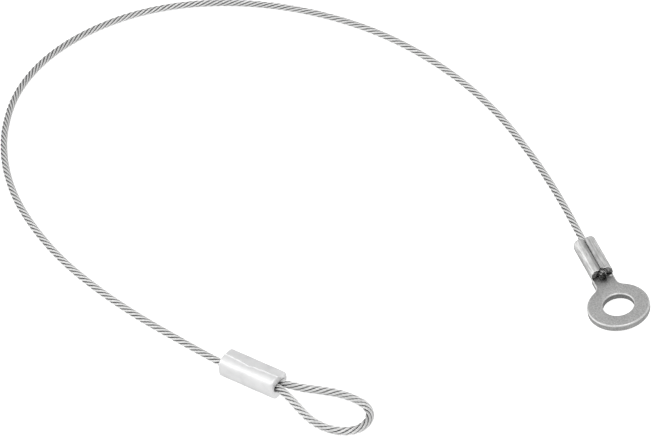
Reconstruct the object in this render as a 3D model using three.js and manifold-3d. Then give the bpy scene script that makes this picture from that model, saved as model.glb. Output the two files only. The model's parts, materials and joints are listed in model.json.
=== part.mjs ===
// Wire rope sling: a stranded rope with a pressed-ferrule soft eye at one end and a crimped
// sheet eye lug at the other. Millimetres, +Z up. The sling lies on the plane z = 0, and the
// origin is on that plane, midway between the two metal fittings.
//
// The rope is one piece on the real object. It is divided here at the points where it flexes,
// so that each length is a rigid body and the hinges between them let the rope bend.

import * as THREE from 'three';
import { mergeVertices } from 'three/addons/utils/BufferGeometryUtils.js';
import Module from 'manifold-3d';

const wasm = await Module();
wasm.setup();

// ---- Driving dimensions -------------------------------------------------------------------

const ROPE_D = 1.6;
const ROPE_R = ROPE_D / 2;
const ROPE_SIDES = 8;
const ROPE_STEP = 5.0; // length of a tube step along the open run
const EYE_STEP = 2.7; // and round the soft eye, where the bend is tight
const FLEX_GAP = 0.7; // between two lengths of rope, so that they clear when they bend

const SHEET = 1.4; // the lug's sheet
const RING_R = 6.5;
const EYE_HOLE_R = 3.25;
const NECK_HALF = 2.35;
const NECK_FILLET = 2.0;
const BARREL_LENGTH = 10.8;
const BARREL_END = -9.26; // barrel's end face, along the lug from the ring's centre
const BARREL_MOUTH = BARREL_END - BARREL_LENGTH;
const BARREL_HALF = 2.42;
const BARREL_TOP = 3.65;
const LUG_ROPE_HEIGHT = 2.2; // the rope's centre above the lug's underside
const ROPE_CUT_END = BARREL_END + 0.7;
const BORE_R = ROPE_R + 0.1;
const SEAM_HALF = 0.06;
const LUG_YAW = THREE.MathUtils.degToRad(-72.3);
const LUG_ROLL = THREE.MathUtils.degToRad(8.5); // the springy rope holds the lug on one edge
const LUG_PITCH = THREE.MathUtils.degToRad(-1); // with its barrel a little lower than its ring
const LUG_LEAN = Math.acos(Math.cos(LUG_ROLL) * Math.cos(LUG_PITCH));
const LUG_AT = new THREE.Vector3(37.8, 3.95, RING_R * Math.sin(LUG_LEAN));

const FERRULE_LENGTH = 13;
const FERRULE_HALF_W = 2.9;
const FERRULE_HALF_H = 2.7;
const LEG_OFFSET = 0.86; // each rope leg from the ferrule's middle
const DEAD_END = -FERRULE_LENGTH / 2 + 0.9; // where the rope's tail stops, inside the ferrule
const FERRULE_YAW = THREE.MathUtils.degToRad(-33.1);
const FERRULE_AT = new THREE.Vector3(-37.2, -17.65, FERRULE_HALF_H);

// The rope's centreline in the open, from the lug's barrel to the ferrule.
const RUN_ROUTE = [
  [27.8, 34.6, 2.74],
  [24.0, 46.1, 2.17],
  [19.6, 57.3, 1.55],
  [14.5, 68.2, 1.08],
  [8.0, 78.4, 0.85],
  [0.1, 87.6, 0.8],
  [-9.0, 95.5, 0.8],
  [-19.4, 101.7, 0.8],
  [-30.7, 105.9, 0.8],
  [-42.6, 107.7, 0.8],
  [-54.7, 106.8, 0.8],
  [-66.0, 102.9, 0.8],
  [-76.0, 96.1, 0.8],
  [-83.9, 87.1, 0.8],
  [-89.1, 76.3, 0.8],
  [-91.3, 64.4, 0.8],
  [-90.9, 52.4, 0.8],
  [-88.1, 40.5, 0.8],
  [-83.3, 29.6, 0.84],
  [-77.1, 19.3, 1.1],
  [-69.6, 9.8, 1.5],
  [-61.3, 1.0, 2],
  [-52.5, -7.1, 2.5],
];

// The soft eye, out of the ferrule by the near leg, round the tip and back by the far leg.
const EYE_ROUTE = [
  [-30.4, -23.9, 2.6],
  [-28.1, -27.1, 2.2],
  [-25.7, -30.1, 1.7],
  [-22.8, -32.2, 1.35],
  [-19.5, -33.1, 1.1],
  [-16.2, -32.4, 0.95],
  [-14.2, -30.3, 0.85],
  [-13.6, -27.9, 0.85],
  [-14.3, -25.7, 1],
  [-16.4, -23.9, 1.25],
  [-19.6, -22.6, 1.6],
  [-23.2, -22.1, 2],
  [-26.8, -21.8, 2.4],
  [-29.5, -21.2, 2.65],
];

// Where the rope flexes, measured along it from the lug's barrel.
const FLEX_AT = {
  lift_at_lug: 11,
  bend_1: 37.3,
  bend_2: 67.9,
  bend_3: 98.6,
  bend_4: 129.2,
  bend_5: 159.8,
  bend_6: 190.4,
  bend_7: 221.1,
  bend_8: 251.7,
  lift_at_ferrule: 279,
};

// ---- Materials ----------------------------------------------------------------------------

const metal = (color, roughness) =>
  new THREE.MeshStandardMaterial({ color, roughness, metalness: 1 });

const paint = {
  rope: () => metal(0xb9bab9, 0.4),
  lug: () => metal(0xa3a3a1, 0.45),
  ferrule: () => metal(0xe2e3e4, 0.35),
};

// ---- Solids -------------------------------------------------------------------------------

function toSolid(geometry) {
  const bare = geometry.clone();
  bare.deleteAttribute('normal');
  bare.deleteAttribute('uv');
  const merged = mergeVertices(bare, 1e-4);
  return new wasm.Manifold(
    new wasm.Mesh({
      numProp: 3,
      vertProperties: new Float32Array(merged.attributes.position.array),
      triVerts: new Uint32Array(merged.index.array),
    }),
  );
}

function toGeometry(solid) {
  const mesh = solid.getMesh();
  const geometry = new THREE.BufferGeometry();
  geometry.setAttribute('position', new THREE.BufferAttribute(mesh.vertProperties, 3));
  geometry.setIndex(new THREE.BufferAttribute(mesh.triVerts, 1));
  geometry.computeVertexNormals();
  return geometry;
}

// Turns a section drawn as (across, up) and extruded into one that runs along +X.
function layAlongX(geometry) {
  const across = new THREE.Vector3(0, 1, 0);
  const up = new THREE.Vector3(0, 0, 1);
  const along = new THREE.Vector3(1, 0, 0);
  return geometry.applyMatrix4(new THREE.Matrix4().makeBasis(across, up, along));
}

// ---- Eye lug: flat ring and neck, with two wings of the sheet rolled round the rope ---------

function tongueShape() {
  const filletY = NECK_HALF + NECK_FILLET;
  const filletX = -Math.sqrt((RING_R + NECK_FILLET) ** 2 - filletY ** 2);
  const turn = Math.atan2(filletY, -filletX); // from the fillet's centre to the ring's
  const shape = new THREE.Shape();
  shape.moveTo(BARREL_END - 0.4, -NECK_HALF);
  shape.lineTo(filletX, -NECK_HALF);
  shape.absarc(filletX, -filletY, NECK_FILLET, Math.PI / 2, turn, true);
  shape.absarc(0, 0, RING_R, Math.PI + turn, 3 * Math.PI - turn, false);
  shape.absarc(filletX, filletY, NECK_FILLET, -turn, -Math.PI / 2, true);
  shape.lineTo(BARREL_END - 0.4, NECK_HALF);
  shape.closePath();
  const hole = new THREE.Path();
  hole.absarc(0, 0, EYE_HOLE_R, 0, 2 * Math.PI, true);
  shape.holes.push(hole);
  return shape;
}

// The crimp's section: each wing comes up a side, over, and down to the seam above the rope.
function barrelShape() {
  const h = BARREL_HALF;
  const seamTop = BARREL_TOP - 0.42;
  const slit = Math.asin(SEAM_HALF / BORE_R);
  const shape = new THREE.Shape();
  shape.moveTo(SEAM_HALF, seamTop);
  shape.bezierCurveTo(0.3, seamTop + 0.25, 0.6, BARREL_TOP, 1.1, BARREL_TOP);
  shape.bezierCurveTo(1.85, BARREL_TOP, h, BARREL_TOP - 0.65, h, 2.1);
  shape.bezierCurveTo(h, 0.8, h - 0.4, 0, 1.3, 0);
  shape.lineTo(-1.3, 0);
  shape.bezierCurveTo(-h + 0.4, 0, -h, 0.8, -h, 2.1);
  shape.bezierCurveTo(-h, BARREL_TOP - 0.65, -1.85, BARREL_TOP, -1.1, BARREL_TOP);
  shape.bezierCurveTo(-0.6, BARREL_TOP, -0.3, seamTop + 0.25, -SEAM_HALF, seamTop);
  const top = Math.PI / 2;
  shape.absarc(0, LUG_ROPE_HEIGHT, BORE_R, top + slit, top - slit + 2 * Math.PI, false);
  shape.closePath();
  return shape;
}

function eyeLug() {
  const tongue = new THREE.ExtrudeGeometry(tongueShape(), {
    depth: SHEET - 0.24,
    bevelThickness: 0.12,
    bevelSize: 0.12,
    bevelOffset: -0.12,
    bevelSegments: 1,
    curveSegments: 28,
  });
  tongue.translate(0, 0, 0.12);
  const barrel = new THREE.ExtrudeGeometry(barrelShape(), {
    depth: BARREL_LENGTH,
    bevelEnabled: false,
    curveSegments: 8,
  });
  layAlongX(barrel);
  barrel.translate(BARREL_MOUTH, 0, 0);
  const lug = toSolid(tongue).add(toSolid(barrel));
  return new THREE.Mesh(toGeometry(lug), paint.lug());
}

// ---- Ferrule: a soft sleeve pressed round both rope legs, with a raised line along its top ---

function ferruleShape() {
  const w = FERRULE_HALF_W;
  const h = FERRULE_HALF_H;
  const shape = new THREE.Shape();
  shape.moveTo(w, -0.5);
  shape.lineTo(w, 0.3);
  shape.quadraticCurveTo(2.4, 1.95, 1.4, h - 0.3);
  shape.lineTo(-0.2, h - 0.1);
  shape.lineTo(-0.32, h + 0.06);
  shape.lineTo(-0.44, h - 0.1);
  shape.bezierCurveTo(-1.9, h - 0.1, -w, 2.1, -w, 0.5);
  shape.lineTo(-w, -0.3);
  shape.quadraticCurveTo(-2.5, -2.1, -0.9, -h);
  shape.lineTo(0.9, -h);
  shape.bezierCurveTo(2.0, -h, w, -2.1, w, -0.5);
  const hole = new THREE.Path();
  hole.absarc(LEG_OFFSET, 0, BORE_R, -Math.PI / 2, Math.PI / 2, false);
  hole.absarc(-LEG_OFFSET, 0, BORE_R, Math.PI / 2, 1.5 * Math.PI, false);
  hole.closePath();
  shape.holes.push(hole);
  return shape;
}

function ferrule() {
  const bevel = 0.22;
  const geometry = new THREE.ExtrudeGeometry(ferruleShape(), {
    depth: FERRULE_LENGTH - 2 * bevel,
    bevelThickness: bevel,
    bevelSize: bevel,
    bevelOffset: -bevel,
    bevelSegments: 2,
    curveSegments: 10,
  });
  geometry.translate(0, 0, bevel - FERRULE_LENGTH / 2);
  return new THREE.Mesh(layAlongX(geometry), paint.ferrule());
}

// ---- Rope ---------------------------------------------------------------------------------

function placed(group, x, y, z) {
  group.updateMatrix();
  return new THREE.Vector3(x, y, z).applyMatrix4(group.matrix);
}

// The whole centreline, from the cut end in the lug to the tail in the ferrule.
function ropeCentreline(lugFrame, ferruleFrame) {
  const inLug = (x) => placed(lugFrame, x, 0, LUG_ROPE_HEIGHT);
  const inFerrule = (x, side) => placed(ferruleFrame, x, side * LEG_OFFSET, 0);
  const half = FERRULE_LENGTH / 2;
  const points = [
    inLug(ROPE_CUT_END),
    inLug((ROPE_CUT_END + BARREL_MOUTH) / 2),
    inLug(BARREL_MOUTH),
    ...RUN_ROUTE.map((p) => new THREE.Vector3(...p)),
    inFerrule(-half, -1),
    inFerrule(0, -1),
    inFerrule(half, -1),
    ...EYE_ROUTE.map((p) => new THREE.Vector3(...p)),
    inFerrule(half, 1),
    inFerrule(0, 1),
    inFerrule(DEAD_END, 1),
  ];
  const curve = new THREE.CatmullRomCurve3(points, false, 'centripetal');
  curve.arcLengthDivisions = 3000;
  return curve;
}

// A tube along the centreline, between two distances from its cut end.
function ropeLength(centreline, from, to, step) {
  const total = centreline.getLength();
  const count = Math.max(4, Math.ceil((to - from) / 2));
  const points = [];
  for (let i = 0; i <= count; i += 1) {
    points.push(centreline.getPointAt((from + ((to - from) * i) / count) / total));
  }
  const section = new THREE.Shape();
  for (let i = 0; i < ROPE_SIDES; i += 1) {
    const angle = (2 * Math.PI * i) / ROPE_SIDES;
    const at = [ROPE_R * Math.cos(angle), ROPE_R * Math.sin(angle)];
    if (i === 0) {
      section.moveTo(...at);
    } else {
      section.lineTo(...at);
    }
  }
  section.closePath();
  const geometry = new THREE.ExtrudeGeometry(section, {
    steps: Math.round((to - from) / step),
    extrudePath: new THREE.CatmullRomCurve3(points, false, 'centripetal'),
  });
  return new THREE.Mesh(geometry, paint.rope());
}

function ropeLengths(centreline) {
  const mouth = ROPE_CUT_END - BARREL_MOUTH; // the barrel's mouth, from the cut end
  const ends = [-FLEX_GAP / 2, ...Object.values(FLEX_AT).map((s) => s + mouth)];
  ends.push(centreline.getLength() + FLEX_GAP / 2);
  const names = ['rope_end_in_lug', 'rope_run_1', 'rope_run_2', 'rope_run_3', 'rope_run_4'];
  names.push('rope_run_5', 'rope_run_6', 'rope_run_7', 'rope_run_8', 'rope_run_9');
  names.push('rope_soft_eye');
  return names.map((name, i) => {
    const step = name === 'rope_soft_eye' ? EYE_STEP : ROPE_STEP;
    const from = ends[i] + FLEX_GAP / 2;
    const length = ropeLength(centreline, from, ends[i + 1] - FLEX_GAP / 2, step);
    length.name = name;
    return length;
  });
}

// ---- Assembly -----------------------------------------------------------------------------

const lugFrame = new THREE.Group();
lugFrame.position.copy(LUG_AT);
lugFrame.rotation.set(LUG_ROLL, LUG_PITCH, LUG_YAW, 'ZYX');
const lug = eyeLug();
lug.name = 'eye_lug';
lugFrame.add(lug);

const ferruleFrame = new THREE.Group();
ferruleFrame.position.copy(FERRULE_AT);
ferruleFrame.rotation.set(0, 0, FERRULE_YAW);
const sleeve = ferrule();
sleeve.name = 'ferrule';
ferruleFrame.add(sleeve);

const sling = new THREE.Group();
sling.add(lugFrame, ferruleFrame);
sling.add(...ropeLengths(ropeCentreline(lugFrame, ferruleFrame)));

export default sling;
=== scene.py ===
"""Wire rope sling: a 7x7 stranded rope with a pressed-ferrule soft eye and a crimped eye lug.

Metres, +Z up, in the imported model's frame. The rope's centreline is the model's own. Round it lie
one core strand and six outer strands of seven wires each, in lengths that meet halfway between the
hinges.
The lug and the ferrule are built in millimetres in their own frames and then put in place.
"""

import json
import math

import bmesh
import bpy
import numpy as np
from mathutils import Euler, Matrix, Vector, noise
from mathutils.geometry import tessellate_polygon

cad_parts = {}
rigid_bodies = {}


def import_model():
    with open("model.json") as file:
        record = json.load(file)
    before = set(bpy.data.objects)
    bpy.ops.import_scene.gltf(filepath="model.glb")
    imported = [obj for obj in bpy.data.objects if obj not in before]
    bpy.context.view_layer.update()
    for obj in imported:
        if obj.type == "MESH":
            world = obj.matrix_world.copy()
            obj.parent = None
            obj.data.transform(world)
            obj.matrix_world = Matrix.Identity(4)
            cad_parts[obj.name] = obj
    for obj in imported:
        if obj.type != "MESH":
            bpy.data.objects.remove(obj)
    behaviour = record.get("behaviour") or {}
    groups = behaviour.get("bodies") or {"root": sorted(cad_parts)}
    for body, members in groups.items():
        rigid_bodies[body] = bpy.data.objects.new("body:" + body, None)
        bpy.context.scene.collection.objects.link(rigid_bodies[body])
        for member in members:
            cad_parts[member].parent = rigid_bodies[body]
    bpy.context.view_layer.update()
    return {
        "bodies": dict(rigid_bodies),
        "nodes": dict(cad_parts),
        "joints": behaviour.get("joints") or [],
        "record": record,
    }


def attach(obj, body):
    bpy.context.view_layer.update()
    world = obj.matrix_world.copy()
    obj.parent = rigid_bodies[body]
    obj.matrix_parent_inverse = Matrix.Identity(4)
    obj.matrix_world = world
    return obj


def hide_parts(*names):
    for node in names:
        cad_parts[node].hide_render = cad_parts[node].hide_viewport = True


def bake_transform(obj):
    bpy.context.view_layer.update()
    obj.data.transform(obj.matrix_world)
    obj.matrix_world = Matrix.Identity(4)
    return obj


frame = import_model()
MM = 0.001
TURN = 2 * math.pi

# ---- Driving dimensions: the rope, in metres -------------------------------------------------

ROPE_D = 0.0016
OUTER = 6  # outer strands in the rope, and outer wires in each strand
LAY = -0.0092  # one turn of a strand round the rope, left-handed
STRAND_ORBIT = 0.000548  # from the rope's centre to an outer strand's
STRAND_R = 0.000252
WIRE_R = STRAND_R / 3
WIRE_LAY = -0.0042  # one turn of a wire round its strand, the other way
CORE_R = STRAND_ORBIT - STRAND_R
CORE_TURN = 0.3  # how far the core strand's wires are turned from the outer strands'
STEP = 0.00036  # between the rings of a strand's mesh

RUN_ROUTE = [
    (0.0278, 0.0346, 0.00274),
    (0.0240, 0.0461, 0.00217),
    (0.0196, 0.0573, 0.00155),
    (0.0145, 0.0682, 0.00108),
    (0.0080, 0.0784, 0.00085),
    (0.0001, 0.0876, 0.00080),
    (-0.0090, 0.0955, 0.00080),
    (-0.0194, 0.1017, 0.00080),
    (-0.0307, 0.1059, 0.00080),
    (-0.0426, 0.1077, 0.00080),
    (-0.0547, 0.1068, 0.00080),
    (-0.0660, 0.1029, 0.00080),
    (-0.0760, 0.0961, 0.00080),
    (-0.0839, 0.0871, 0.00080),
    (-0.0891, 0.0763, 0.00080),
    (-0.0913, 0.0644, 0.00080),
    (-0.0909, 0.0524, 0.00080),
    (-0.0881, 0.0405, 0.00080),
    (-0.0833, 0.0296, 0.00084),
    (-0.0771, 0.0193, 0.00110),
    (-0.0696, 0.0098, 0.00150),
    (-0.0613, 0.0010, 0.00200),
    (-0.0525, -0.0071, 0.00250),
]

EYE_ROUTE = [
    (-0.0304, -0.0239, 0.00260),
    (-0.0281, -0.0271, 0.00220),
    (-0.0257, -0.0301, 0.00170),
    (-0.0228, -0.0322, 0.00135),
    (-0.0195, -0.0331, 0.00110),
    (-0.0162, -0.0324, 0.00095),
    (-0.0142, -0.0303, 0.00085),
    (-0.0136, -0.0279, 0.00085),
    (-0.0143, -0.0257, 0.00100),
    (-0.0164, -0.0239, 0.00125),
    (-0.0196, -0.0226, 0.00160),
    (-0.0232, -0.0221, 0.00200),
    (-0.0268, -0.0218, 0.00240),
    (-0.0295, -0.0212, 0.00265),
]

# Where one length of strands hands over to the next, measured from the lug's barrel: halfway
# between two hinges, where the rope isn't bending.
HAND_OVER = [0.0220, 0.0526, 0.0833, 0.1139, 0.1445, 0.1751, 0.2058, 0.2364, 0.2670]
EYE_OPENS = (0.302, 0.352)  # the stretch of the soft eye whose strands stand apart
EYE_OPENING = 0.008  # how far along the rope they take to open
ORBIT_OPENS = 0.13  # by what share the strands move outwards there
STRAND_OPENS = 0.125  # and each of them spreads
VALLEY_SHADE_OPENS = 0.08  # and the painted shade between them recedes

CUT_WIRES_FROM = 0.0004  # how far inside the rope's cut end the splayed wires start
CUT_WIRE_LENGTH = 0.00062  # the least length of one
CUT_WIRE_SPREAD = (0.00004, 0.0003)  # and what is added to it
CUT_WIRE_LEAN = 0.24
CUT_WIRE_SLANT = 0.5
CUT_WIRE_NIPPED = 0.82  # the end's size, where the cutter closed on it

# ---- Driving dimensions: the fittings, in millimetres ----------------------------------------

SHEET = 1.4
RING_R = 6.5
EYE_HOLE_R = 3.25
NECK_HALF = 2.35
NECK_FILLET = 2.0
BARREL_END = -9.26
BARREL_MOUTH = BARREL_END - 10.8
BARREL_HALF = 2.42
BARREL_TOP = 3.65
LUG_ROPE_HEIGHT = 2.2
ROPE_CUT_END = BARREL_END + 0.7
BORE_R = 0.9
SEAM_HALF = 0.06
CREASE_Y = -1.05  # a fine line that the crimping die leaves beside the seam
CREASE_DEPTH = 0.05
CREASE_WIDTH = 0.07
CREASE_ABOVE = 3  # it is only on top
TORN_LENGTH = 0.6  # how far back from the wings' ends the tear reaches
BRIGHT_LENGTH = 0.13  # and the rubbed edge
CRACK_DEPTH = 0.3
END_ROWS = 9  # rows of faces across the wings' torn ends
LUG_TURN = Euler([math.radians(a) for a in (8.5, -1, -72.3)], "XYZ")
LUG_LEAN = math.acos(math.cos(LUG_TURN.x) * math.cos(LUG_TURN.y))
LUG_AT = Vector((37.8, 3.95, RING_R * math.sin(LUG_LEAN))) * MM

FERRULE_LENGTH = 13
FERRULE_HALF_W = 2.9
FERRULE_HALF_H = 2.7
LEG_OFFSET = 0.86
DEAD_END = -FERRULE_LENGTH / 2 + 0.9
FERRULE_AT = Vector((-37.2, -17.65, FERRULE_HALF_H)) * MM
FERRULE_YAW = math.radians(-33.1)

IN_MM = Matrix.Scale(MM, 4)
LUG_FRAME = Matrix.Translation(LUG_AT) @ LUG_TURN.to_matrix().to_4x4() @ IN_MM
FERRULE_FRAME = Matrix.Translation(FERRULE_AT) @ Matrix.Rotation(FERRULE_YAW, 4, "Z") @ IN_MM


# ---- Camera ----------------------------------------------------------------------------------


AIMED_AT = Vector((-0.0224, 0.0343, 0))
ELEVATION = math.radians(40)
DISTANCE = 1.0
SENSOR_WIDTH = 36
LENS = 262.3


def make_camera():
    camera = bpy.data.objects.new("camera", bpy.data.cameras.new("camera"))
    camera.data.sensor_width = SENSOR_WIDTH
    camera.data.lens = LENS
    back = Vector((0, -math.cos(ELEVATION), math.sin(ELEVATION)))
    camera.location = AIMED_AT + back * DISTANCE
    camera.rotation_euler = (-back).to_track_quat("-Z", "Y").to_euler()
    bpy.context.scene.collection.objects.link(camera)
    bpy.context.scene.camera = camera


make_camera()


# ---- Meshes ----------------------------------------------------------------------------------


def unit(vectors):
    return vectors / np.linalg.norm(vectors, axis=-1, keepdims=True)


def add_object(name, points, faces, place=None):
    """A mesh object from points and faces, put in place by a matrix."""
    mesh = bpy.data.meshes.new(name)
    mesh.from_pydata([tuple(p) for p in points], [], faces)
    if place is not None:
        mesh.transform(place)
    mesh.update()
    piece = bpy.data.objects.new(name, mesh)
    bpy.context.scene.collection.objects.link(piece)
    return piece


def tube_faces(rings, around, first=0):
    """Quads between rings of the same number of points, facing out, and a flat cap on each end."""
    faces = []
    for ring in range(rings - 1):
        here = first + ring * around
        for i in range(around):
            j = (i + 1) % around
            faces.append((here + i, here + j, here + around + j, here + around + i))
    last = first + (rings - 1) * around
    faces.append(tuple(first + i for i in reversed(range(around))))
    faces.append(tuple(last + i for i in range(around)))
    return faces


def shade(piece, sharp_above):
    """Smooth shading, with edges sharper than an angle in degrees left crisp."""
    piece.data.shade_smooth()
    piece.data.set_sharp_from_angle(angle=math.radians(sharp_above))


def hump(distance, width):
    """1 at no distance, falling smoothly to nothing over about twice the width."""
    return math.exp(-((distance / width) ** 2))


def store(piece, name, values):
    """One number for each vertex, for a material to read."""
    layer = piece.data.attributes.new(name, "FLOAT", "POINT")
    layer.data.foreach_set("value", np.asarray(values, np.float32))


# ---- Rope: its centreline --------------------------------------------------------------------


def catmull_rom(points, per_span=60):
    """The centripetal Catmull-Rom curve through the points, as a fine polyline."""
    padded = np.vstack([2 * points[0] - points[1], points, 2 * points[-1] - points[-2]])
    knots = np.sqrt(np.linalg.norm(np.diff(padded, axis=0), axis=1))
    t = np.linspace(0, 1, per_span, endpoint=False)[:, None]
    spans = []
    for i in range(1, len(padded) - 2):
        p0, p1, p2, p3 = padded[i - 1 : i + 3]
        d0, d1, d2 = knots[i - 1 : i + 2]
        leave = ((p1 - p0) / d0 - (p2 - p0) / (d0 + d1)) * d1 + (p2 - p1)
        arrive = ((p3 - p2) / d2 - (p3 - p1) / (d1 + d2)) * d1 + (p2 - p1)
        square = 3 * (p2 - p1) - 2 * leave - arrive
        cube = 2 * (p1 - p2) + leave + arrive
        spans.append(p1 + leave * t + square * t**2 + cube * t**3)
    return np.vstack([*spans, points[-1:]])


def rope_centreline():
    """Points STEP apart from the cut end in the lug to the tail in the ferrule."""

    def in_lug(x):
        return LUG_FRAME @ Vector((x, 0, LUG_ROPE_HEIGHT))

    def in_ferrule(x, side):
        return FERRULE_FRAME @ Vector((x, side * LEG_OFFSET, 0))

    half = FERRULE_LENGTH / 2
    points = [in_lug(ROPE_CUT_END), in_lug((ROPE_CUT_END + BARREL_MOUTH) / 2)]
    points += [in_lug(BARREL_MOUTH), *RUN_ROUTE]
    points += [in_ferrule(-half, -1), in_ferrule(0, -1), in_ferrule(half, -1), *EYE_ROUTE]
    points += [in_ferrule(half, 1), in_ferrule(0, 1), in_ferrule(DEAD_END, 1)]
    fine = catmull_rom(np.array([tuple(p) for p in points]))
    along = np.concatenate([[0], np.cumsum(np.linalg.norm(np.diff(fine, axis=0), axis=1))])
    even = np.linspace(0, along[-1], round(along[-1] / STEP) + 1)
    return even, np.stack([np.interp(even, along, fine[:, k]) for k in range(3)], axis=1)


def carried_frames(points):
    """Two directions across the line at each point, carried along it without twisting."""
    tangents = unit(np.gradient(points, axis=0))
    across = np.empty_like(points)
    across[0] = unit(np.cross(tangents[0], (0, 0, 1)))
    for i in range(1, len(points)):
        carried = across[i - 1] - tangents[i] * (across[i - 1] @ tangents[i])
        across[i] = carried / np.linalg.norm(carried)
    return across, np.cross(tangents, across)


ALONG, CENTRE = rope_centreline()
ACROSS, UPWARD = carried_frames(CENTRE)
MOUTH = (ROPE_CUT_END - BARREL_MOUTH) * MM  # the barrel's mouth, from the cut end


def ring_at(from_mouth):
    """The number of the ring nearest to a distance from the lug's barrel."""
    return int(np.argmin(np.abs(ALONG - MOUTH - from_mouth)))


# ---- Rope: its strands -----------------------------------------------------------------------


def wire_profile(per_wire=4):
    """A strand's outline round its outer wires: angles, and radii in wire radii."""
    span = math.radians(120)
    turns = -span + 2 * span * np.arange(per_wire) / per_wire
    outward = 2 + np.cos(turns)
    sideways = np.sin(turns)
    angles = [wire * TURN / OUTER + np.arctan2(sideways, outward) for wire in range(OUTER)]
    return np.concatenate(angles), np.tile(np.hypot(outward, sideways), OUTER)


def opened_up(most):
    """How much wider than at rest a size is all along the rope: it opens where the eye is bent."""
    from_mouth = ALONG - MOUTH
    share = np.clip((from_mouth - EYE_OPENS[0]) / EYE_OPENING, 0, 1)
    share *= np.clip((EYE_OPENS[1] - from_mouth) / EYE_OPENING, 0, 1)
    return 1 + most * share * share * (3 - 2 * share)


def strand_rings(orbit, radius, phase, wire_lay):
    """Rings of points round one strand, all along the rope.

    With them come two measures of how far out each point lies, as shares of the most there is:
    from the rope's centre, and from the strand's own.
    """
    turned = phase + TURN * ALONG / LAY
    out = np.cos(turned)[:, None] * ACROSS + np.sin(turned)[:, None] * UPWARD
    centre = CENTRE + (orbit * opened_up(ORBIT_OPENS))[:, None] * out
    forward = unit(np.gradient(centre, axis=0))
    side = np.cross(forward, out)
    angles, radii = wire_profile()
    twist = angles[None, :] + phase - TURN * ALONG[:, None] / wire_lay
    reach = radii[None, :] * (opened_up(STRAND_OPENS) * radius / 3)[:, None]
    rings = centre[:, None] + reach[..., None] * (
        np.cos(twist)[..., None] * out[:, None] + np.sin(twist)[..., None] * side[:, None]
    )
    from_rope = np.linalg.norm(rings - CENTRE[:, None], axis=2)
    # the painted shade between the strands recedes where the eye opens
    from_rope /= (opened_up(VALLEY_SHADE_OPENS) * ROPE_D / 2)[:, None]
    return rings, from_rope, np.broadcast_to(radii / radii.max(), from_rope.shape)


OUTER_STRANDS = [
    strand_rings(STRAND_ORBIT, STRAND_R, k * TURN / OUTER, WIRE_LAY) for k in range(OUTER)
]
CORE_STRAND = strand_rings(0, CORE_R, CORE_TURN, -WIRE_LAY)


def strand_mesh(name, strands, first, last, ragged=False):
    """The strands' meshes from one ring of the rope to another, as one object.

    A ragged mesh starts every other strand a ring later, as the cutter leaves them.
    """
    points, faces, in_rope, in_strand = [], [], [], []
    used = 0
    for k, (rings, from_rope, from_strand) in enumerate(strands):
        start = first + (k % 2 if ragged else 0)
        part = rings[start : last + 1]
        faces += tube_faces(len(part), part.shape[1], used)
        used += part.shape[0] * part.shape[1]
        points.append(part.reshape(-1, 3))
        in_rope.append(from_rope[start : last + 1].ravel())
        in_strand.append(from_strand[start : last + 1].ravel())
    piece = add_object(name, np.vstack(points), faces)
    shade(piece, 70)
    store(piece, "from_rope", np.concatenate(in_rope))
    store(piece, "from_strand", np.concatenate(in_strand))
    return piece


def rope_length(number, first, last, nodes, rope_material):
    """One length of the rope, lying across two bodies, in place of the model's parts for it."""
    strands = strand_mesh(f"outer_strands_{number}", OUTER_STRANDS, first, last, number == 1)
    core = strand_mesh(f"core_strand_{number}", [CORE_STRAND], first, last)
    for piece in (strands, core):
        piece.data.materials.append(rope_material)
        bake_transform(piece)
    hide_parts(*nodes)


def rope(rope_material):
    """The whole rope: ten lengths, each from one body to the next."""
    ends = [0, *map(ring_at, HAND_OVER), len(ALONG) - 1]
    last_length = len(ends) - 1
    for k in range(1, last_length + 1):
        first, last = ends[k - 1 : k + 1]
        nodes = [f"rope_run_{k}"]
        if k == 1:
            nodes.insert(0, "rope_end_in_lug")
        if k == last_length:
            nodes = ["rope_soft_eye"]
        rope_length(k, first, last, nodes, rope_material)


def cut_wire_ends(material):
    """The sheared ends of the rope's wires, splayed a little where they leave the barrel."""
    rng = np.random.default_rng(7)
    sides, rings = 8, 5
    points, faces = [], []
    back = -unit(np.gradient(CENTRE, axis=0))[0]
    turns = TURN * np.arange(sides) / sides
    strands = [(STRAND_ORBIT, k * TURN / OUTER) for k in range(OUTER)] + [(0, 0)]
    for orbit, phase in strands:
        out = math.cos(phase) * ACROSS[0] + math.sin(phase) * UPWARD[0]
        side = np.cross(back, out)
        for wire in range(OUTER + 1):
            place = 0 if wire == OUTER else 2 * WIRE_R
            turned = wire * TURN / OUTER + phase
            from_strand = place * (math.cos(turned) * out + math.sin(turned) * side)
            start = CENTRE[0] + orbit * out + from_strand - back * CUT_WIRES_FROM
            lean = rng.normal(0, CUT_WIRE_LEAN, 2)
            heading = unit(back + lean[0] * out + lean[1] * side)
            reach = CUT_WIRE_LENGTH + rng.uniform(*CUT_WIRE_SPREAD)
            slant = rng.normal(0, CUT_WIRE_SLANT, 2)
            first = len(points) * sides
            for ring in range(rings):
                share = ring / (rings - 1)
                pinch = WIRE_R * (CUT_WIRE_NIPPED if share == 1 else 1)
                across = np.cos(turns)[:, None] * out + np.sin(turns)[:, None] * side
                cut = share**8 * pinch * (np.cos(turns) * slant[0] + np.sin(turns) * slant[1])
                centre = start + heading * reach * share
                points.append(centre + pinch * across + cut[:, None] * heading)
            faces += tube_faces(rings, sides, first)
    piece = add_object("cut_wire_ends", np.vstack(points), faces)
    shade(piece, 40)
    piece.data.materials.append(material)
    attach(piece, "lug")
    return piece


# ---- Outlines --------------------------------------------------------------------------------


def arc(centre, radius, start, end, count):
    """Points on a circle from one angle to another, both ends included."""
    turns = np.linspace(start, end, count)
    return np.stack([centre[0] + radius * np.cos(turns), centre[1] + radius * np.sin(turns)], 1)


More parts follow.
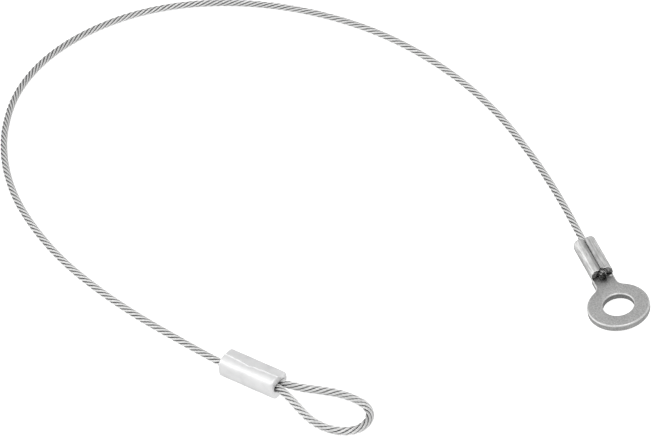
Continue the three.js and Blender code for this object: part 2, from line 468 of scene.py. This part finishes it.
def bezier(p0, p1, p2, p3, count):
    """Points on a cubic curve, the last left out."""
    t = np.linspace(0, 1, count, endpoint=False)[:, None]
    p0, p1, p2, p3 = map(np.array, (p0, p1, p2, p3))
    s = 1 - t
    return s**3 * p0 + 3 * s**2 * t * p1 + 3 * s * t**2 * p2 + t**3 * p3


def evenly(outline, count):
    """A closed outline resampled at even distances."""
    closed = np.vstack([outline, outline[:1]])
    along = np.concatenate([[0], np.cumsum(np.linalg.norm(np.diff(closed, axis=0), axis=1))])
    at = np.arange(count) / count * along[-1]
    return np.stack([np.interp(at, along, closed[:, k]) for k in range(2)], 1)


def drawn_in(outline, inset):
    """A closed outline, anticlockwise, moved in by a small distance."""
    ahead = np.roll(outline, -1, axis=0) - np.roll(outline, 1, axis=0)
    inward = unit(np.stack([-ahead[:, 1], ahead[:, 0]], 1))
    return outline + inset * inward


# ---- Eye lug ---------------------------------------------------------------------------------

FACE, BURNISHED_AND_HIGHLIT, RIM, SHEARED, TORN, CRACK_SHADE = range(6)  # the lug's material slots

# The sheet's edges from the underside up: (inset, height).
OUTER_EDGE = [(0.05, 0), (0, 0.06), (0, 1.12), (0.03, 1.24), (0.09, 1.33), (0.17, 1.38)]
OUTER_EDGE.append((0.28, SHEET))
HOLE_EDGE = [(0.1, 0), (0.02, 0.05), (0, 0.14), (0, 1.15), (0.03, 1.27), (0.1, 1.36)]
HOLE_EDGE.append((0.2, SHEET))
ROLLED_OVER = 0.2  # how far below its top face the sheet's edge is rolled over
NECK_IN_BARREL = 0.4


def tongue_outline(inset, count=24):
    """Ring and neck seen from above, anticlockwise, drawn in by a distance."""
    fillet_y = NECK_HALF + NECK_FILLET
    fillet_x = -math.sqrt((RING_R + NECK_FILLET) ** 2 - fillet_y**2)
    turn = math.atan2(fillet_y, -fillet_x)
    half, fillet, ring = NECK_HALF - inset, NECK_FILLET + inset, RING_R - inset
    root = BARREL_END - NECK_IN_BARREL
    quarter = math.pi / 2
    return np.vstack(
        [
            [(root, -half)],
            arc((fillet_x, -fillet_y), fillet, quarter, turn, count // 2),
            arc((0, 0), ring, math.pi + turn, 3 * math.pi - turn, 5 * count)[1:-1],
            arc((fillet_x, fillet_y), fillet, -turn, -quarter, count // 2),
            [(root, half)],
        ]
    )


def tongue():
    """The flat ring and neck: top edges rolled over by the die, the sheared walls below them."""
    outer = [(tongue_outline(inset), z) for inset, z in OUTER_EDGE]
    hole = [(arc((0, 0), EYE_HOLE_R + inset, 0, -TURN, 97)[:-1], z) for inset, z in HOLE_EDGE]
    points, faces, slots = [], [], []
    starts = []
    for rings in (outer, hole):
        around = len(rings[0][0])
        starts.append(len(points))
        for level, (ring, z) in enumerate(rings):
            here = len(points)
            points += [(x, y, z) for x, y in ring]
            if level == 0:
                continue
            for i in range(around):
                j = (i + 1) % around
                below = here - around
                faces.append((below + i, below + j, here + j, here + i))
                slots.append(SHEARED if z < SHEET - ROLLED_OVER else RIM)
    for level in (0, len(OUTER_EDGE) - 1):
        loops, index = [], []
        for rings, start in zip((outer, hole), starts):
            ring = rings[level][0]
            loops.append([Vector((x, y, 0)) for x, y in ring])
            index += [start + level * len(ring) + i for i in range(len(ring))]
        for corners in tessellate_polygon(loops):
            faces.append(tuple(index[i] for i in corners))
            slots.append(FACE)
    return points, faces, slots


def barrel_section():
    """The crimp's outline and bore in (across, up): two wings that meet above the rope.

    The outline runs anticlockwise from the seam's left lip to its right one, and the bore, with as
    many points, back again. The seam's walls between them have END_ROWS - 1 points each.
    """
    h, top, seam_top = BARREL_HALF, BARREL_TOP, BARREL_TOP - 0.42
    right = np.vstack(
        [
            [(0, 0), (0.65, 0)],
            bezier((1.3, 0), (h - 0.4, 0), (h, 0.8), (h, 2.1), 22),
            bezier((h, 2.1), (h, top - 0.65), (1.85, top), (1.1, top), 34),
            bezier((1.1, top), (0.6, top), (0.3, seam_top + 0.25), (SEAM_HALF, seam_top), 20),
            [(SEAM_HALF, seam_top)],
        ]
    )
    outline = np.vstack([right[:0:-1] * (-1, 1), right])
    slit = math.asin(SEAM_HALF / BORE_R)
    quarter = math.pi / 2
    bore = arc((0, LUG_ROPE_HEIGHT), BORE_R, quarter - slit, slit - 3 * quarter, len(outline))
    down = np.arange(1, END_ROWS)[:, None] / END_ROWS
    right_wall = outline[-1] * (1 - down) + bore[0] * down
    left_wall = bore[-1] * (1 - down) + outline[0] * down
    return np.vstack([outline, right_wall, bore, left_wall]), len(outline)


def torn(y, z):
    """How far the wings' torn ends stand out from a straight cut, at a point of their section."""
    from_rope = math.hypot(y, z - LUG_ROPE_HEIGHT)
    out = 0.42 * noise.noise(Vector((y * 1.1, z * 1.1, 3.1)))
    out += 0.16 * noise.noise(Vector((y * 3.4, z * 3.4, 7.7)))
    out -= 0.4 * hump(from_rope - BORE_R, 0.28)  # sunk round the rope
    if z > LUG_ROPE_HEIGHT:
        out -= 0.55 * hump(y, 0.3)  # between the wings
    return out - 0.45 * hump(z - SHEET - 0.1, 0.22)  # and above the sheet they rise from


def barrel():
    """The rolled wings, with a rounded mouth and torn lobes at the ring's end."""
    section, across = barrel_section()
    around = len(section)
    length = BARREL_END - BARREL_MOUTH
    ends = [(0.16, 0.0), (0.05, 0.05), (0, 0.16)]  # inset, distance from the end
    stations = [(inset, BARREL_MOUTH + x) for inset, x in ends]
    stations += [(0, BARREL_MOUTH + x) for x in np.linspace(0.5, length - 0.5, 12)]
    stations += [(0, BARREL_END - back) for back in (0.35, 0.24, 0.14)]
    stations += [(0.05, BARREL_END - 0.03), (0.14, BARREL_END), (0.2, BARREL_END - 0.03)]
    points, faces, slots = [], [], []
    for level, (inset, x) in enumerate(stations):
        rough = max(0.0, 1 - (BARREL_END - x) / TORN_LENGTH)
        for y, z in drawn_in(section, inset):
            crease = CREASE_DEPTH * hump(y - CREASE_Y, CREASE_WIDTH) if z > CREASE_ABOVE else 0
            points.append((x + rough * torn(y, z), y, z - crease))
        if level == 0:
            continue
        here = level * around
        below = here - around
        slot = RIM if x > BARREL_END - BRIGHT_LENGTH else BURNISHED_AND_HIGHLIT
        for i in range(around):
            j = (i + 1) % around
            faces.append((below + i, below + j, here + j, here + i))
            slots.append(slot)
    for corners in tessellate_polygon([[Vector((y, z, 0)) for y, z in section]]):
        faces.append(tuple(corners))
        slots.append(SHEARED)
    # The torn end: rows of points between the outline and the bore.
    last = (len(stations) - 1) * around
    walls = across + END_ROWS - 1
    rows = [[last + i for i in range(across)]]
    for row in range(1, END_ROWS):
        share = row / END_ROWS
        line = [last + walls + across + END_ROWS - 1 - row]
        for i in range(1, across - 1):
            outer, inner = points[last + i], points[last + walls + across - 1 - i]
            y, z = (a * (1 - share) + b * share for a, b in zip(outer[1:], inner[1:]))
            line.append(len(points))
            points.append((stations[-1][1] + torn(y, z), y, z))
        rows.append([*line, last + across - 1 + row])
    rows.append([last + walls + across - 1 - i for i in range(across)])
    for upper, lower in zip(rows, rows[1:]):
        for i in range(across - 1):
            corners = (upper[i], upper[i + 1], lower[i + 1], lower[i])
            deepest = min(torn(*points[corner][1:]) for corner in corners)
            faces.append(corners)
            # faces sunk deeper than CRACK_DEPTH get the painted shade
            slots.append(CRACK_SHADE if deepest < -CRACK_DEPTH else TORN)
    return points, faces, slots


def burr():
    """A sliver of the wing's torn foot, lying bright on the neck."""
    circle = arc((0, 0), 1, 0, TURN, 17)[:-1]
    sizes = (0.7, 1.0, 0.75, 0.3)
    points = []
    for level, size in enumerate(sizes):
        z = SHEET - 0.1 + 0.11 * level
        points += [(BARREL_END + 0.34 + 0.16 * x, 1.72 + 0.42 * y, z) for x, y in circle * size]
    faces = tube_faces(len(sizes), len(circle))
    return points, faces, [RIM] * len(faces)


def facing_out(piece):
    """Turns every face of a closed mesh to face out."""
    shell = bmesh.new()
    shell.from_mesh(piece.data)
    bmesh.ops.recalc_face_normals(shell, faces=shell.faces)
    shell.to_mesh(piece.data)
    shell.free()


def eye_lug(materials):
    """The whole lug, its pieces of metal joined into one."""
    shapes = {"eye_lug_stamping": tongue(), "wings": barrel(), "burr": burr()}
    parts = []
    for name, (points, faces, slots) in shapes.items():
        part = add_object(name, points, faces)
        for material in materials:
            part.data.materials.append(material)
        part.data.polygons.foreach_set("material_index", slots)
        facing_out(part)
        parts.append(part)
    lug, *others = parts
    for other in others:
        join = lug.modifiers.new(other.name, "BOOLEAN")
        join.operation = "UNION"
        join.solver = "MANIFOLD"
        join.object = other
    evaluated = lug.evaluated_get(bpy.context.evaluated_depsgraph_get())
    joined = bpy.data.meshes.new_from_object(evaluated)
    lug.modifiers.clear()
    lug.data = joined
    for other in others:
        bpy.data.objects.remove(other)
    lug.data.transform(LUG_FRAME)
    shade(lug, 32)
    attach(lug, "lug")
    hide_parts("eye_lug")
    return lug


# ---- Ferrule ---------------------------------------------------------------------------------

# The raised line that the press leaves along the top: (along, across).
FLASH_LINE = [
    (-6.5, -0.5),
    (-2.85, -0.74),
    (-1.6, -0.81),
    (-0.15, -1.04),
    (0.65, -0.73),
    (6.5, -0.51),
]
FLASH_HEIGHT = 0.13
FLASH_WIDTH = 0.085
MOUTH_INSET = 0.24  # how far the ends are rounded in
MOUTH_ROUNDING = 0.3  # and over what length
SLEEVE_AROUND = 160  # points round the sleeve
# The bore's mouth from the end inwards: (depth, half width, radius).
BORE_MOUTH = [(0.0, 2.0, 1.05), (0.12, 1.9, 0.94), (0.4, 1.8, 0.88), (1.2, 1.72, 0.85)]


def ferrule_section():
    """The sleeve's outline, anticlockwise in (across, up), from its far side."""
    w, h = FERRULE_HALF_W, FERRULE_HALF_H
    return np.vstack(
        [
            bezier((w, -0.5), (w, -0.2), (w, 0.0), (w, 0.3), 6),
            bezier((w, 0.3), (2.75, 1.2), (2.3, 2.0), (1.5, h - 0.32), 16),
            bezier((1.5, h - 0.32), (0.9, h - 0.24), (0.2, h - 0.16), (-0.4, h - 0.1), 16),
            bezier((-0.4, h - 0.1), (-1.9, h - 0.1), (-w, 2.1), (-w, 0.5), 26),
            bezier((-w, 0.5), (-w, 0.2), (-w, 0.0), (-w, -0.3), 6),
            bezier((-w, -0.3), (-2.7, -1.6), (-2.0, -h), (-0.9, -h), 20),
            bezier((-0.9, -h), (-0.3, -h), (0.3, -h), (0.9, -h), 12),
            bezier((0.9, -h), (2.0, -h), (w, -2.1), (w, -0.5), 22),
        ]
    )


def obround(half_width, radius, count):
    """The bore round the rope's two legs, anticlockwise, from its far side."""
    flat = half_width - radius
    quarter = math.pi / 2
    right = arc((flat, 0), radius, -quarter, quarter, 40)
    left = arc((-flat, 0), radius, quarter, 3 * quarter, 40)
    return evenly(np.vstack([right, left]), count)


def ferrule(material):
    """The pressed sleeve: a skin from end to end, and back through the bore."""
    around = SLEEVE_AROUND
    half = FERRULE_LENGTH / 2
    outline = evenly(ferrule_section(), around)
    by_end = np.array([0, 0.05, 0.14, 0.28])
    between = np.linspace(0.5, FERRULE_LENGTH - 0.5, 61)
    lengthwise = np.concatenate([by_end, between, FERRULE_LENGTH - by_end[::-1]])
    rings = []
    for along in lengthwise:
        x = along - half
        to_end = min(along, FERRULE_LENGTH - along)
        inset = MOUTH_INSET * max(0.0, 1 - to_end / MOUTH_ROUNDING) ** 2
        ring = []
        line_y = np.interp(x, *zip(*FLASH_LINE))
        for y, z in drawn_in(outline, inset):
            up = FLASH_HEIGHT * hump(y - line_y, FLASH_WIDTH) if z > 0 else 0.0
            swell = 0.035 * noise.noise(Vector((x * 0.35, y * 0.5, z * 0.5)))
            swell += 0.012 * noise.noise(Vector((x * 1.1, y * 1.5, z * 1.5)))
            scale = 1 + swell / math.hypot(y, z)
            lip = 0.22 * max(0.0, (x - 5.6) / 0.9) * max(0.0, (-z - 0.9) / 1.8)
            ring.append((x + lip, y * scale, z * scale + up))
        rings.append(ring)
    inner = [(FERRULE_LENGTH - depth, w, r) for depth, w, r in BORE_MOUTH]
    inner += [(depth, w - 0.1, r - 0.05) for depth, w, r in reversed(BORE_MOUTH)]
    for along, width, radius in inner:
        x = along - half
        rings.append([(x, y, z) for y, z in obround(width, radius, around)])
    points = [p for ring in rings for p in ring]
    faces = []
    count = len(rings)
    for level in range(count):
        here, there = level * around, (level + 1) % count * around
        for i in range(around):
            j = (i + 1) % around
            faces.append((here + i, here + j, there + j, there + i))
    sleeve = add_object("ferrule_sleeve", points, faces, FERRULE_FRAME)
    facing_out(sleeve)
    shade(sleeve, 40)
    sleeve.data.materials.append(material)
    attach(sleeve, "eye")
    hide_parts("ferrule")
    return sleeve


# ---- Materials -------------------------------------------------------------------------------


class Nodes:
    """A tree of shader nodes, and short ways to add to it."""

    def __init__(self, tree):
        self.tree = tree

    def node(self, kind, links=(), **values):
        made = self.tree.nodes.new(kind)
        for name, value in values.items():
            setattr(made, name, value)
        for socket, source in dict(links).items():
            if isinstance(source, bpy.types.NodeSocket):
                self.tree.links.new(source, made.inputs[socket])
            else:
                made.inputs[socket].default_value = source
        return made

    def maths(self, operation, *values):
        return self.node("ShaderNodeMath", enumerate(values), operation=operation).outputs[0]

    def ramp(self, factor, *stops):
        """A colour or grey that follows a factor from 0 to 1: stops are (place, colour)."""
        made = self.node("ShaderNodeValToRGB", {"Fac": factor})
        line = made.color_ramp
        for _ in stops[2:]:
            line.elements.new(0.5)
        for element, (place, grey) in zip(line.elements, stops):
            element.position = place
            element.color = (*grey, 1) if isinstance(grey, tuple) else (grey, grey, grey, 1)
        return made.outputs["Color"]

    def patch(self, direction, centre, near, levels):
        """A level that changes smoothly as a direction comes near to the patch's centre."""
        centre = Vector(centre).normalized()
        towards = self.node(
            "ShaderNodeVectorMath", {0: direction, 1: centre}, operation="DOT_PRODUCT"
        )
        links = {"Value": towards.outputs["Value"]}
        links.update({"From Min": near[0], "From Max": near[1]})
        links.update({"To Min": levels[0], "To Max": levels[1]})
        made = self.node("ShaderNodeMapRange", links, interpolation_type="SMOOTHSTEP")
        return made.outputs[0]


class Metal(Nodes):
    """A metal with a procedural finish; its colour, roughness and bump come from its nodes."""

    def __init__(self, name, frame=None):
        self.material = bpy.data.materials.new(name)
        self.material.use_nodes = True
        super().__init__(self.material.node_tree)
        self.shader = self.tree.nodes["Principled BSDF"]
        self.shader.inputs["Metallic"].default_value = 1
        self.place = self.node("ShaderNodeTexCoord").outputs["Object"]
        if frame is not None:  # the fitting's own millimetres
            to_own = {
                "Vector": self.place,
                "Location": frame.to_translation(),
                "Rotation": frame.to_euler(),
                "Scale": frame.to_scale(),
            }
            mapped = self.node("ShaderNodeMapping", to_own, vector_type="TEXTURE")
            self.place = mapped.outputs[0]

    def speckle(self, size, detail, stretch=(1, 1, 1), rough=0.5):
        """Noise whose features are about size wide."""
        scale = tuple(s / size for s in stretch)
        mapped = self.node("ShaderNodeMapping", {"Vector": self.place, "Scale": scale})
        links = {"Vector": mapped.outputs[0], "Scale": 1.0, "Detail": detail, "Roughness": rough}
        return self.node("ShaderNodeTexNoise", links).outputs["Fac"]

    def attribute(self, name):
        return self.node("ShaderNodeAttribute", attribute_name=name).outputs["Fac"]

    def along(self, axis):
        return self.node("ShaderNodeSeparateXYZ", {"Vector": self.place}).outputs[axis]

    def times(self, a, b):
        """One colour multiplied by another."""
        links = {0: 1.0, 6: a, 7: b}  # how much, and the sockets for colours
        made = self.node("ShaderNodeMix", links, data_type="RGBA", blend_type="MULTIPLY")
        return made.outputs[2]

    def finish(self, colour, roughness, height=None, strength=0.0, distance=0.0):
        self.tree.links.new(colour, self.shader.inputs["Base Color"])
        self.tree.links.new(roughness, self.shader.inputs["Roughness"])
        if height is not None:
            links = {"Height": height, "Strength": strength, "Distance": distance}
            bump = self.node("ShaderNodeBump", links)
            self.tree.links.new(bump.outputs["Normal"], self.shader.inputs["Normal"])
        return self.material


def wire_steel():
    """Drawn steel wire, with painted shade darkening it between the strands and between the wires.
    """
    metal = Metal("wire_steel")
    drawn = metal.speckle(0.0009, 3)
    light = metal.ramp(drawn, (0.3, (0.92, 0.92, 0.915)), (0.7, (0.99, 0.99, 0.985)))
    # painted shade: darker down between the strands, from each point's distance to the rope's
    # centre
    valley_shade = metal.ramp(metal.attribute("from_rope"), (0.62, 0.05), (0.79, 0.32), (0.88, 1.0))
    # painted shade: darker in the grooves between the wires of each strand
    groove_shade = metal.ramp(metal.attribute("from_strand"), (0.58, 0.45), (0.8, 1.0))
    colour = metal.times(light, metal.times(valley_shade, groove_shade))
    rough = metal.ramp(drawn, (0.3, 0.3), (0.7, 0.4))
    metal.shader.inputs["Specular Tint"].default_value = (0.12, 0.12, 0.12, 1)
    return metal.finish(colour, rough, metal.speckle(0.0002, 2), 0.12, 0.00001)


def cut_steel():
    """The cut wires' ends: dark and gritty."""
    metal = Metal("cut_steel", LUG_FRAME)
    grit = metal.speckle(0.3, 4)
    colour = metal.ramp(grit, (0.35, (0.025, 0.025, 0.025)), (0.7, (0.2, 0.2, 0.196)))
    rough = metal.ramp(grit, (0.3, 0.62), (0.7, 0.4))
    return metal.finish(colour, rough, grit, 0.6, 0.00004)


def tumbled_steel():
    """The lug's sheet: barrel-tumbled grey, with a fine mottle, darker up the neck."""
    metal = Metal("tumbled_steel", LUG_FRAME)
    cloud = metal.ramp(metal.speckle(1.6, 3), (0.3, 0.9), (0.7, 1.0))
    fine = metal.speckle(0.34, 4, rough=0.75)
    mottle = metal.ramp(fine, (0.34, (0.385, 0.385, 0.38)), (0.64, (0.67, 0.67, 0.665)))
    up_neck = metal.maths("DIVIDE", metal.along("X"), -10)
    by_neck = metal.ramp(up_neck, (0.35, 1.0), (0.75, 0.84))
    colour = metal.times(metal.times(mottle, cloud), by_neck)
    rough = metal.ramp(fine, (0.3, 0.42), (0.7, 0.54))
    return metal.finish(colour, rough, fine, 0.3, 0.00003)


def burnished_and_highlit_steel():
    """The wings: streaked lengthwise by the crimping die, on a base brighter than the sheet's as a
    painted highlight, and darker near the seam.
    """
    metal = Metal("burnished_and_highlit_steel", LUG_FRAME)
    streaks = metal.speckle(0.36, 4, stretch=(0.14, 1, 1), rough=0.6)
    fine = metal.speckle(0.2, 3, rough=0.7)
    # painted highlight: the wings' base is brighter than the sheet's, with the lengthwise streaks
    # in it
    bright = metal.ramp(streaks, (0.35, (0.52, 0.52, 0.515)), (0.65, (0.92, 0.92, 0.915)))
    mottle = metal.ramp(fine, (0.3, 0.88), (0.7, 1.0))
    # darker within about a millimetre of the seam
    from_seam = metal.maths("ABSOLUTE", metal.along("Y"))
    by_seam = metal.ramp(from_seam, (0.1, 0.66), (0.7, 0.72), (1.0, 1.0))
    colour = metal.times(metal.times(bright, mottle), by_seam)
    rough = metal.ramp(streaks, (0.3, 0.46), (0.7, 0.32))
    return metal.finish(colour, rough, streaks, 0.35, 0.00003)


def bright_rim():
    """The rolled edges of the sheet, rubbed brighter in the tumbling."""
    metal = Metal("bright_rim", LUG_FRAME)
    fine = metal.speckle(0.4, 3)
    colour = metal.ramp(fine, (0.3, (0.64, 0.64, 0.635)), (0.7, (0.82, 0.82, 0.815)))
    rough = metal.ramp(fine, (0.3, 0.3), (0.7, 0.4))
    return metal.finish(colour, rough, fine, 0.15, 0.00001)


def sheared_steel():
    """The walls the die cut through the sheet: grey and grainy, with painted shade darkening them
    inside the eye.
    """
    metal = Metal("sheared_steel", LUG_FRAME)
    grain = metal.speckle(0.35, 4)
    grey = metal.ramp(grain, (0.3, (0.32, 0.32, 0.317)), (0.7, (0.48, 0.48, 0.475)))
    from_eye = metal.node("ShaderNodeVectorMath", {0: metal.place}, operation="LENGTH")
    outwards = metal.maths("DIVIDE", from_eye.outputs["Value"], 10)
    # painted shade: the wall of the eye's hole is darker, as the hole shades it
    hole_shade = metal.ramp(outwards, (0.4, 0.54), (0.45, 1.0))
    colour = metal.times(grey, hole_shade)
    rough = metal.ramp(grain, (0.3, 0.55), (0.7, 0.42))
    return metal.finish(colour, rough, grain, 0.5, 0.00004)


def torn_steel():
    """The wings' ends, torn off rough: dark, with bright points."""
    metal = Metal("torn_steel", LUG_FRAME)
    grain = metal.speckle(0.3, 4, rough=0.7)
    colour = metal.ramp(grain, (0.35, (0.1, 0.1, 0.1)), (0.7, (0.46, 0.46, 0.455)))
    rough = metal.ramp(grain, (0.3, 0.6), (0.7, 0.4))
    return metal.finish(colour, rough, grain, 0.8, 0.00008)


def crack_shade():
    """Painted shade in the deep places of the torn ends: nearly black."""
    metal = Metal("crack_shade", LUG_FRAME)
    grain = metal.speckle(0.3, 2)
    colour = metal.ramp(grain, (0.3, (0.01, 0.01, 0.01)), (0.7, (0.07, 0.07, 0.07)))
    return metal.finish(colour, metal.ramp(grain, (0.3, 0.8), (0.7, 0.6)))


def pressed_aluminium():
    """The ferrule: pale and satin, a little cloudy."""
    metal = Metal("pressed_aluminium", FERRULE_FRAME)
    cloud = metal.speckle(2.6, 3)
    fine = metal.speckle(0.5, 3)
    colour = metal.ramp(cloud, (0.3, (0.83, 0.832, 0.836)), (0.7, (0.94, 0.941, 0.943)))
    rough = metal.ramp(fine, (0.3, 0.4), (0.7, 0.5))
    return metal.finish(colour, rough, metal.speckle(0.7, 3), 0.2, 0.00002)


# ---- Studio ----------------------------------------------------------------------------------


def area_light(name, at, size, power):
    """A round soft lamp that faces the origin."""
    lamp = bpy.data.lights.new(name, "AREA")
    lamp.shape = "DISK"
    lamp.size = size
    lamp.energy = power
    light = bpy.data.objects.new(name, lamp)
    light.location = at
    light.rotation_euler = (-Vector(at)).to_track_quat("-Z", "Y").to_euler()
    light.visible_camera = False
    bpy.context.scene.collection.objects.link(light)


def soft_surroundings():
    """A pale room, darker overhead, with a wide glow on the left and a dim patch low behind."""
    world = bpy.data.worlds.new("studio")
    world.use_nodes = True
    room = Nodes(world.node_tree)
    direction = room.node("ShaderNodeTexCoord").outputs["Generated"]
    height = room.node("ShaderNodeSeparateXYZ", {0: direction}).outputs["Z"]
    level = room.node("ShaderNodeMapRange", {"Value": height, "From Min": -1}).outputs[0]
    walls = room.ramp(level, (0.0, 0.86), (0.46, 0.88), (0.54, 0.84), (0.80, 0.69), (1.0, 0.84))
    glow = room.patch(direction, (-0.9, 0.1, 0.42), (0.75, 0.98), (0.0, 0.7))
    dim = room.patch(direction, (0, 0.77, -0.64), (0.76, 0.97), (1.0, 0.3))
    light = room.maths("MULTIPLY", room.maths("ADD", walls, glow), dim)
    room.tree.links.new(light, room.tree.nodes["Background"].inputs["Color"])
    bpy.context.scene.world = world


def paper():
    """A matt white that glows a little, so that it stays plain."""
    material = bpy.data.materials.new("paper")
    material.use_nodes = True
    inputs = material.node_tree.nodes["Principled BSDF"].inputs
    inputs["Base Color"].default_value = (0.9, 0.9, 0.9, 1)
    inputs["Roughness"].default_value = 0.9
    inputs["Specular IOR Level"].default_value = 0.0
    inputs["Emission Color"].default_value = (1, 1, 1, 1)
    inputs["Emission Strength"].default_value = 0.7
    return material


def studio():
    """A plain pale floor, the room's light and two soft lamps."""
    far = 6
    corners = [(-far, -far, 0), (far, -far, 0), (far, far, 0), (-far, far, 0)]
    floor = add_object("floor", corners, [(0, 1, 2, 3)])
    floor.data.materials.append(paper())
    floor.visible_glossy = False  # the metal mirrors the room's soft light instead
    soft_surroundings()
    area_light("top", (0.05, -0.35, 0.9), 0.55, 1.6)
    area_light("left", (-0.9, -0.25, 0.6), 0.6, 0.5)
    bpy.context.scene.view_settings.view_transform = "Standard"


# ---- Assembly --------------------------------------------------------------------------------

rope(wire_steel())
cut_wire_ends(cut_steel())
eye_lug(
    [tumbled_steel(), burnished_and_highlit_steel(), bright_rim(), sheared_steel(), torn_steel(), crack_shade()]
)
ferrule(pressed_aluminium())
studio()
